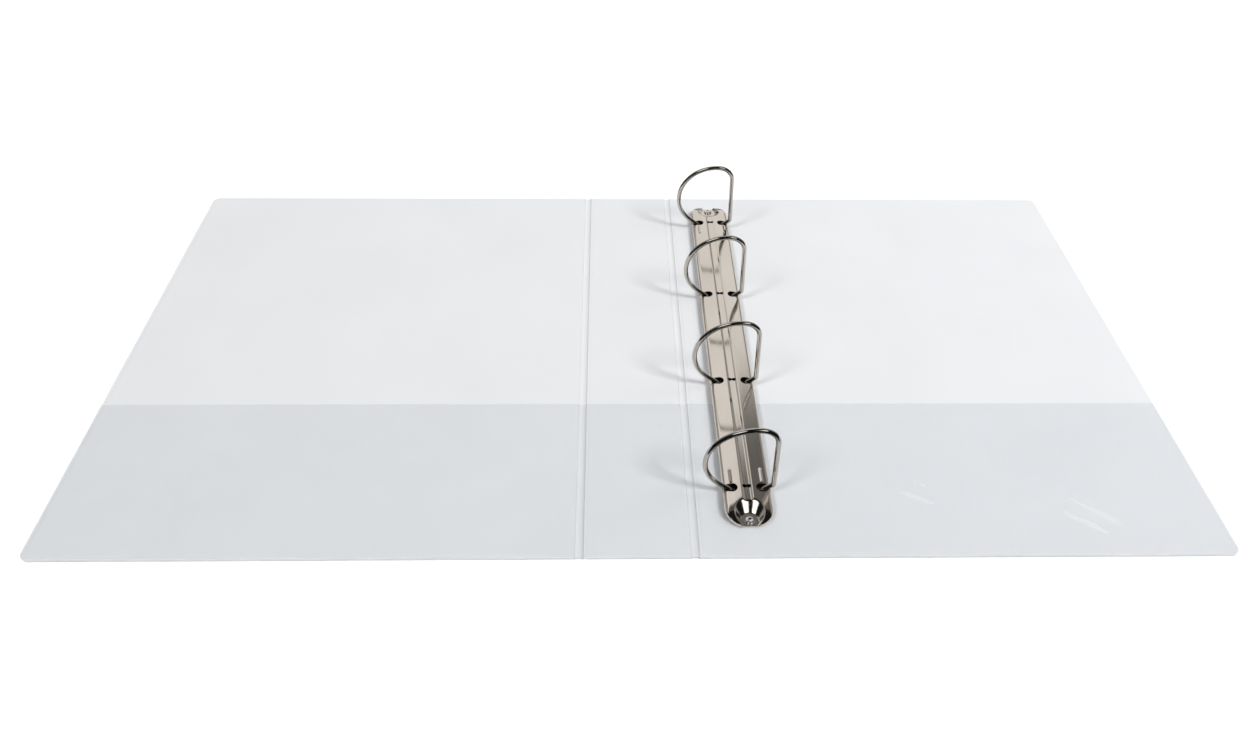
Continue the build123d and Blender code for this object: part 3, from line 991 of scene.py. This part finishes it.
def stage_floor(tint):
    """Plain pale floor."""
    return Finish("pale floor", Roughness=0.9, Base_Color=(*tint, 1), Specular_IOR_Level=0.0).material


FINISHES = {
    "white_film": white_film,
    "clear_film": clear_film,
    "nickel_plate": nickel_plate,
    "ring_wire": ring_wire,
    "rivet_metal": rivet_metal,
    "blade_steel": blade_steel,
    "board": cardboard,
}
made_finishes = {}


def material_for(slot):
    """The material for one of the record's slots, made when it is first asked for."""
    if slot not in made_finishes:
        made_finishes[slot] = FINISHES[slot]()
    return made_finishes[slot]


# The pieces that stay as the frame has them, and their slots.
LAYERS = {"outer_skin": "white_film", "overlay": "clear_film", "board": "board"}
CARRIED = {
    **{f"{panel}_{layer}": slot for panel in PANELS for layer, slot in LAYERS.items()},
    **{f"{hand}_blade": "blade_steel" for hand in ("left", "right")},
    **{f"rivet_cap_{end}": "rivet_metal" for end in ("head", "foot")},
}


# ---- Operators ----


class BINDER_OT_films(Operator):
    """Makes the white inner films and the clear pockets of the three panels"""

    bl_idname = "binder.films"
    bl_label = "Welded films"

    def execute(self, context):
        sizes = context.scene.binder_films
        make_inner_skins(sizes, material_for("white_film"))
        make_pockets(sizes, material_for("clear_film"))
        return {"FINISHED"}


class BINDER_OT_hinges(Operator):
    """Makes the two welded hinge strips"""

    bl_idname = "binder.hinges"
    bl_label = "Hinge strips"

    def execute(self, context):
        make_hinges(context.scene.binder_hinges, hinge_film(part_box("spine_pocket")[1].y))
        return {"FINISHED"}


class BINDER_OT_plate(Operator):
    """Makes the pressed cover plate of the ring mechanism"""

    bl_idname = "binder.plate"
    bl_label = "Cover plate"

    def execute(self, context):
        make_plate(context.scene.binder_plate, material_for("nickel_plate"))
        return {"FINISHED"}


class BINDER_OT_rings(Operator):
    """Makes the left and right half rings"""

    bl_idname = "binder.rings"
    bl_label = "Half rings"

    def execute(self, context):
        make_rings(context.scene.binder_rings, material_for("ring_wire"))
        return {"FINISHED"}


class BINDER_OT_rivets(Operator):
    """Makes the two rivets"""

    bl_idname = "binder.rivets"
    bl_label = "Rivets"

    def execute(self, context):
        make_rivets(context.scene.binder_rivets, material_for("rivet_metal"))
        return {"FINISHED"}


class BINDER_OT_carried(Operator):
    """Gives the pieces that stay as the frame has them their finishes"""

    bl_idname = "binder.carried"
    bl_label = "Carried pieces"

    def execute(self, context):
        for node, slot in CARRIED.items():
            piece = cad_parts[node]
            piece.data.materials.clear()
            piece.data.materials.append(material_for(slot))
        return {"FINISHED"}


class BINDER_OT_stage(Operator):
    """Makes the floor, the lights and the camera"""

    bl_idname = "binder.stage"
    bl_label = "Stage"

    def execute(self, context):
        sizes = context.scene.binder_stage
        half = sizes.floor_size / 2
        corners = [(-half, -half, 0), (half, -half, 0), (half, half, 0), (-half, half, 0)]
        floor = new_piece("floor", corners, [(0, 1, 2, 3)], stage_floor(sizes.floor_colour))
        floor.location.z = -0.05 * MM
        floor.visible_glossy = False
        light_scene(sizes)
        context.scene.world = make_room(sizes)
        aim_camera(context, sizes)
        context.scene.view_settings.view_transform = "Standard"
        return {"FINISHED"}


def in_sky(azimuth, elevation):
    """A direction, from its turn from +Y towards +X and its height over the horizon, in degrees."""
    across, up = math.radians(azimuth), math.radians(elevation)
    return Vector((math.sin(across) * math.cos(up), math.cos(across) * math.cos(up), math.sin(up)))


def add_lamp(name, kind, place, target, settings):
    """A lamp that lights the binder but isn't mirrored in it."""
    data = bpy.data.lights.new(name, kind)
    for setting, value in settings.items():
        setattr(data, setting, value)
    lamp = new_object(name, data)
    lamp.location = place
    lamp.rotation_euler = (Vector(place) - Vector(target)).to_track_quat("Z", "Y").to_euler()
    lamp.visible_glossy = False


def light_scene(sizes):
    """Two broad, far lights in front and a lamp beside the back cover."""
    for name, azimuth, elevation, spread, strength, tint in (
        ("key_light", 122, 46, 15, sizes.key_strength, sizes.key_colour),
        ("fill_light", -124, 47, 16, sizes.fill_strength, sizes.fill_colour),
    ):
        add_lamp(name, "SUN", in_sky(azimuth, elevation) * 3, (0, 0, 0), {
            "angle": math.radians(spread), "energy": strength, "color": tint,
        })
    add_lamp("side_lamp", "AREA", (1.1, 0.1, 0.9), (0.25, 0.0, 0.0), {
        "shape": "SQUARE", "size": 0.6, "energy": sizes.side_power,
    })


def make_room(sizes):
    """Surroundings, pale to the camera, and in reflections pale behind but dark overhead and in front."""
    behind, upper_right, beside, dark, softbox = 0.80, 0.12, 0.30, 0.01, 1.8
    world = bpy.data.worlds.new("room")
    world.use_nodes = True
    tree = world.node_tree
    tree.nodes.clear()
    toward = add_node(tree, "ShaderNodeTexCoord").outputs["Generated"]
    right, front, up = Vector((1, 0, 0)), Vector((0, -1, 0)), Vector((0, 0, 1))

    def facing(direction, start, end):
        """From 0 to 1 as the view turns towards that direction."""
        along = add_node(tree, "ShaderNodeVectorMath", {0: toward, 1: direction}, operation="DOT_PRODUCT")
        return add_node(tree, "ShaderNodeMapRange", {
            "Value": along.outputs["Value"], "From Min": start, "From Max": end,
        }, interpolation_type="SMOOTHSTEP").outputs["Result"]

    def most(first, second):
        return add_node(tree, "ShaderNodeMath", {0: first, 1: second}, operation="MAXIMUM").outputs["Value"]

    def mixed(share, before, after):
        pair = [(*[each] * 3, 1) if isinstance(each, float) else each for each in (before, after)]
        mix = add_node(tree, "ShaderNodeMix", {"Factor": share, 6: pair[0], 7: pair[1]}, data_type="RGBA")
        return mix.outputs[2]

    shade = mixed(facing((0.515, 0.0, 0.858), 0.69, 0.745), behind, upper_right)
    shade = mixed(most(facing(-right, 0.42, 0.60), facing(right, 0.42, 0.60)), shade, beside)
    above = most(facing(up, 0.86, 0.96), facing(front, -0.30, -0.05))
    shade = mixed(most(above, facing(-up, -0.03, 0.03)), shade, dark)
    for azimuth in (140, -140):
        shade = mixed(facing(in_sky(azimuth, 50), 0.962, 0.978), shade, softbox)
    seen = add_node(tree, "ShaderNodeLightPath").outputs["Is Camera Ray"]
    shade = mixed(seen, shade, sizes.backdrop)
    shade = add_node(tree, "ShaderNodeBackground", {"Color": shade, "Strength": 1.0})
    add_node(tree, "ShaderNodeOutputWorld", {"Surface": shade.outputs["Background"]})
    return world


def aim_camera(context, sizes):
    data = bpy.data.cameras.new("camera")
    data.lens, data.sensor_width, data.sensor_fit = sizes.lens, 36.0, "HORIZONTAL"
    data.clip_start, data.clip_end = 0.01, 50.0
    camera = new_object("camera", data)
    turn = Matrix.Rotation(sizes.camera_turn, 3, "Z")
    tilt = Matrix.Rotation(sizes.camera_tilt, 3, "X")
    roll = Matrix.Rotation(sizes.camera_roll, 3, "Z")
    camera.location = sizes.camera_place
    camera.rotation_euler = (turn @ tilt @ roll).to_euler()
    context.scene.camera = camera


class BINDER_PT_sidebar(Panel):
    """Builds each group of pieces"""

    bl_idname = "BINDER_PT_sidebar"
    bl_label = "Ring Binder"
    bl_space_type = "VIEW_3D"
    bl_region_type = "UI"
    bl_category = "Binder"

    def draw(self, context):
        for operator in OPERATORS:
            self.layout.operator(operator.bl_idname)


OPERATORS = (
    BINDER_OT_films,
    BINDER_OT_hinges,
    BINDER_OT_plate,
    BINDER_OT_rings,
    BINDER_OT_rivets,
    BINDER_OT_carried,
    BINDER_OT_stage,
)
CLASSES = (*SETTINGS.values(), *OPERATORS, BINDER_PT_sidebar)


def register():
    for each in CLASSES:
        bpy.utils.register_class(each)
    for name, group in SETTINGS.items():
        setattr(bpy.types.Scene, name, PointerProperty(type=group))


def unregister():
    for name in SETTINGS:
        delattr(bpy.types.Scene, name)
    for each in reversed(CLASSES):
        bpy.utils.unregister_class(each)


def main():
    register()
    bpy.ops.binder.films()
    bpy.ops.binder.hinges()
    bpy.ops.binder.plate()
    bpy.ops.binder.rings()
    bpy.ops.binder.rivets()
    bpy.ops.binder.carried()
    bpy.ops.binder.stage()


if __name__ == "__main__":
    main()
